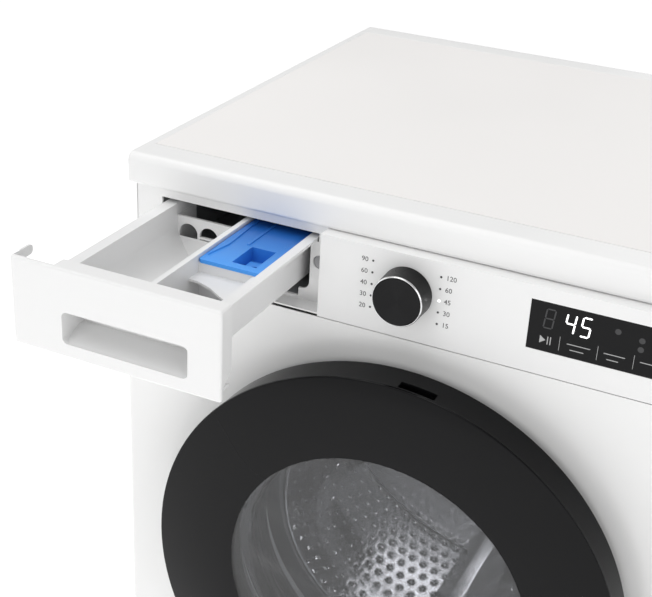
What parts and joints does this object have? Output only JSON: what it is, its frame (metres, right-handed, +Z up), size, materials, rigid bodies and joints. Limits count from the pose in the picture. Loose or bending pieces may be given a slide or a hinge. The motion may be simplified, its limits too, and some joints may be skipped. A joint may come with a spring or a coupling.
{
  "type": "front load washing machine",
  "caption": "Free-standing front loading washing machine with round glass door, pull-out detergent drawer, program knob and display.",
  "frame": {"origin": "on the floor, at the middle of the 600 x 570 mm footprint", "axes": "+Z up, +X to the machine's right as seen from the front, -Y is the front with the door, +Y the back"},
  "size_m": [0.6, 0.741, 0.85],
  "materials": {
    "white_enamel": "smooth white enamelled steel",
    "white_plastic": "satin white moulded plastic",
    "worktop_laminate": "warm white laminated board",
    "tray_plastic": "white moulded plastic",
    "blue_plastic": "bright blue translucent-looking plastic",
    "black_gloss": "polished black plastic",
    "knob_black": "spun black anodised",
    "silver_trim": "bright ring",
    "door_glass": "tinted glass, black printed border",
    "clear_glass": "clear pressed glass",
    "display_glass": "black display window",
    "lamp_clear": "small dark lamp pins",
    "stainless": "embossed perforated stainless steel",
    "galvanised": "galvanised sheet steel",
    "zinc_steel": "zinc plated steel",
    "cast_alloy": "cast aluminium alloy",
    "cast_weight": "rough cast counterweight",
    "tub_plastic": "glass filled grey-white plastic",
    "grey_rubber": "soft grey rubber",
    "black_rubber": "black rubber",
    "grey_plastic": "grey moulded plastic",
    "black_plastic": "black moulded plastic",
    "copper_steel": "laminated steel and copper windings",
    "circuit_board": "green circuit board",
    "element_steel": "stainless heating element"
  },
  "bodies": {
    "cabinet": {"cabinet_shell": "white_enamel", "rear_cover": "white_enamel", "front_panel": "white_enamel", "base_frame": "galvanised", "top_brace": "galvanised", "worktop_rim": "white_plastic", "worktop_board": "worktop_laminate", "control_fascia": "white_plastic", "display_window": "display_glass", "display_board": "circuit_board", "program_lamps": "lamp_clear", "program_selector": "black_plastic", "dispenser_housing": "grey_plastic", "hinge_bracket": "cast_alloy", "hinge_pin": "zinc_steel", "door_lock": "black_plastic", "door_gasket": "grey_rubber", "suspension_springs": "zinc_steel", "water_valve": "black_plastic", "valve_hose": "black_rubber", "dispenser_hose": "black_rubber", "sump_hose": "black_rubber", "drain_pump": "grey_plastic", "drain_spout": "grey_plastic", "levelling_feet": "black_rubber", "control_box": "grey_plastic", "cable_gland": "black_plastic", "transit_bolt_caps": "white_plastic"},
    "tub": {"tub_front": "tub_plastic", "tub_rear": "tub_plastic", "counterweight_upper": "cast_weight", "counterweight_lower": "cast_weight", "heater": "element_steel", "shaft_bearings": "zinc_steel", "shaft_seal": "black_rubber", "stator": "copper_steel", "gasket_clamp": "zinc_steel"},
    "drum": {"drum_shell": "stainless", "drum_back": "stainless", "drum_spider": "cast_alloy", "drum_shaft": "zinc_steel", "drum_lifters": "grey_plastic", "motor_rotor": "zinc_steel"},
    "door": {"door_glass": "door_glass", "door_rim": "black_gloss", "door_frame": "black_plastic", "door_bowl": "clear_glass", "door_hinge_arm": "cast_alloy"},
    "door_hook": {"door_hook": "zinc_steel"},
    "drawer": {"drawer_front": "white_plastic", "drawer_tray": "tray_plastic", "siphon_cap": "blue_plastic"},
    "knob": {"knob_body": "knob_black", "knob_ring": "silver_trim"},
    "damper_cylinder_left": {"damper_cylinder_left": "black_plastic"},
    "damper_cylinder_right": {"damper_cylinder_right": "black_plastic"},
    "damper_rod_left": {"damper_rod_left": "grey_plastic"},
    "damper_rod_right": {"damper_rod_right": "grey_plastic"},
    "drain_filter": {"drain_filter": "grey_plastic"},
    "filter_flap": {"filter_flap": "white_plastic"}
  },
  "joints": [
    {"name": "door_hinge", "type": "hinge", "parent": "cabinet", "child": "door", "pos_m": [-0.224, -0.307, 0.4822], "axis": [0, 0, -1], "range_deg": [0, 130]},
    {"name": "door_hook_pivot", "type": "hinge", "parent": "door", "child": "door_hook", "pos_m": [0.198, -0.298, 0.4822], "axis": [0, 0, 1], "range_deg": [0, 8], "stiffness_Nm_per_rad": 0.4, "springref_deg": -5.73},
    {"name": "drawer_slide", "type": "slide", "parent": "cabinet", "child": "drawer", "axis": [0, -1, 0], "range_m": [-0.1665, 0.012]},
    {"name": "knob_turn", "type": "hinge", "parent": "cabinet", "child": "knob", "pos_m": [-0.008, -0.296, 0.7845], "axis": [0, -1, 0], "continuous": true},
    {"name": "tub_float", "type": "slide", "parent": "cabinet", "child": "tub", "axis": [0, 0, 1], "range_m": [-0.008, 0.008], "stiffness_N_per_m": 14000, "springref_m": 0.02846, "deforming": ["door_gasket", "suspension_springs", "dispenser_hose", "sump_hose"]},
    {"name": "drum_spin", "type": "hinge", "parent": "tub", "child": "drum", "pos_m": [0, 0, 0.4822], "axis": [0, 1, 0], "continuous": true},
    {"name": "damper_cylinder_left_tilt", "type": "hinge", "parent": "cabinet", "child": "damper_cylinder_left", "pos_m": [-0.19, 0.075, 0.062], "axis": [0, 1, 0], "range_deg": [-0.91, 0.91]},
    {"name": "damper_rod_left_tilt", "type": "hinge", "parent": "tub", "child": "damper_rod_left", "pos_m": [-0.13, 0.075, 0.23], "axis": [0, 1, 0], "range_deg": [-0.91, 0.91]},
    {"name": "damper_cylinder_right_tilt", "type": "hinge", "parent": "cabinet", "child": "damper_cylinder_right", "pos_m": [0.19, 0.075, 0.062], "axis": [0, 1, 0], "range_deg": [-0.91, 0.91]},
    {"name": "damper_rod_right_tilt", "type": "hinge", "parent": "tub", "child": "damper_rod_right", "pos_m": [0.13, 0.075, 0.23], "axis": [0, 1, 0], "range_deg": [-0.91, 0.91]},
    {"name": "drain_filter_turn", "type": "hinge", "parent": "cabinet", "child": "drain_filter", "pos_m": [-0.218, -0.264, 0.092], "axis": [0, -1, 0], "range_deg": [0, 450]},
    {"name": "filter_flap_hinge", "type": "hinge", "parent": "cabinet", "child": "filter_flap", "pos_m": [-0.218, -0.2815, 0.0475], "axis": [1, 0, 0], "range_deg": [0, 75]}
  ],
  "couplings": [
    {"joint": "damper_cylinder_left_tilt", "follows": "tub_float", "rad_per_m": -1.8854},
    {"joint": "damper_rod_left_tilt", "follows": "tub_float", "rad_per_m": -1.8854},
    {"joint": "damper_cylinder_right_tilt", "follows": "tub_float", "rad_per_m": 1.8854},
    {"joint": "damper_rod_right_tilt", "follows": "tub_float", "rad_per_m": 1.8854}
  ]
}
